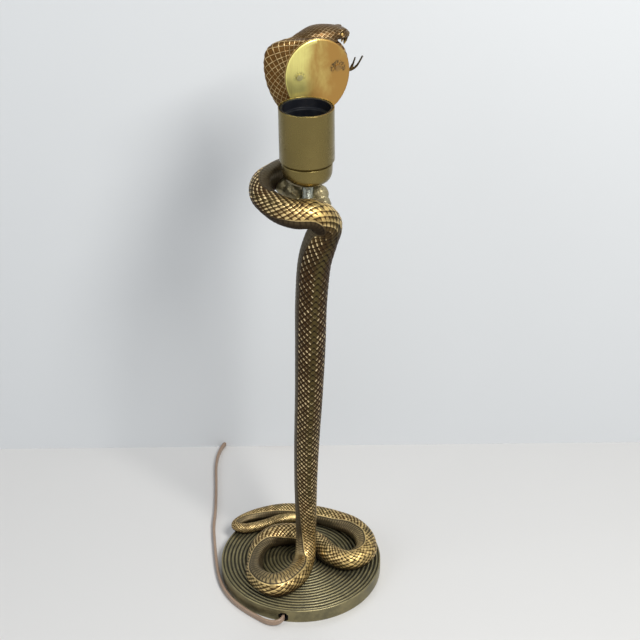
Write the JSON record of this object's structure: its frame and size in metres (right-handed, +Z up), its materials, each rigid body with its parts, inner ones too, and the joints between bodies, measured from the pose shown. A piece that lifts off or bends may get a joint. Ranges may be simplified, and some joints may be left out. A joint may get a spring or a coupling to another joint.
{
  "type": "cobra table lamp",
  "caption": "Cast bronze table lamp: a cobra stands on a ridged round base, winds once round the lampholder's stem and spreads its hood behind the bulb; flat mains flex with switch and plug.",
  "frame": {"origin": "middle of the round base's underside", "axes": "+Z up; the open front of the hood faces -Y; +X to the right seen from the front"},
  "size_m": [0.1705, 0.3472, 0.4677],
  "materials": {
    "aged_bronze": "aged cast bronze, dark in the recesses and worn gold on the edges of the scales",
    "polished_brass": "polished brass with finger marks and light scratches",
    "satin_brass": "satin lacquered brass with a green-gold tone",
    "contact_brass": "plain stamped brass",
    "steel": "plain zinc-coated steel",
    "porcelain": "off-white ceramic",
    "black_resin": "black moulded resin",
    "felt": "dark green felt",
    "flex_sheath": "taupe flexible sheath with a soft shine",
    "brown_plastic": "dark brown moulded plastic"
  },
  "bodies": {
    "lamp_body": {"base_disc": "aged_bronze", "column_casting": "aged_bronze", "tail_casting": "aged_bronze", "neck_casting": "aged_bronze", "hood_casting": "aged_bronze", "tongue": "aged_bronze", "hood_plate": "polished_brass", "plate_rivet_left": "polished_brass", "plate_rivet_right": "polished_brass", "holder_dome": "satin_brass", "screw_shell": "contact_brass", "centre_contact": "contact_brass", "live_terminal_screw": "contact_brass", "neutral_terminal_screw": "contact_brass", "plug_pin_live": "contact_brass", "plug_pin_neutral": "contact_brass", "front_loop_washer": "steel", "front_loop_screw": "steel", "left_loop_washer": "steel", "left_loop_screw": "steel", "right_loop_washer": "steel", "right_loop_screw": "steel", "rear_loop_washer": "steel", "rear_loop_screw": "steel", "cord_clip_screw": "steel", "column_nipple": "steel", "tail_pin": "steel", "neck_pin": "steel", "stem_lock_nut": "steel", "threaded_stem": "steel", "contact_block": "porcelain", "rim_bushing": "black_resin", "base_felt": "felt", "mains_lead": "flex_sheath", "flex_open_run": "flex_sheath", "flex_to_coil": "flex_sheath", "flex_coil": "flex_sheath", "flex_to_plug": "flex_sheath", "cord_clip": "brown_plastic", "switch_housing": "brown_plastic", "plug_body": "brown_plastic"},
    "socket_liner": {"liner_ring": "black_resin"},
    "sleeve": {"holder_sleeve": "satin_brass"},
    "rocker": {"switch_rocker": "brown_plastic"}
  },
  "joints": [
    {"name": "sleeve_lift", "type": "slide", "parent": "lamp_body", "child": "socket_liner", "axis": [0, 0, 1], "range_m": [0, 0.0075]},
    {"name": "sleeve_unscrew", "type": "hinge", "parent": "socket_liner", "child": "sleeve", "pos_m": [0.0105, 0, 0.4], "axis": [0, 0, 1], "range_deg": [0, 1080]},
    {"name": "rocker_tilt", "type": "hinge", "parent": "lamp_body", "child": "rocker", "pos_m": [-0.013, 0.197, 0.012], "axis": [0, 1, 0], "range_deg": [0, 16]}
  ],
  "couplings": [
    {"joint": "sleeve_lift", "follows": "sleeve_unscrew", "m_per_rad": 0.00039788}
  ]
}
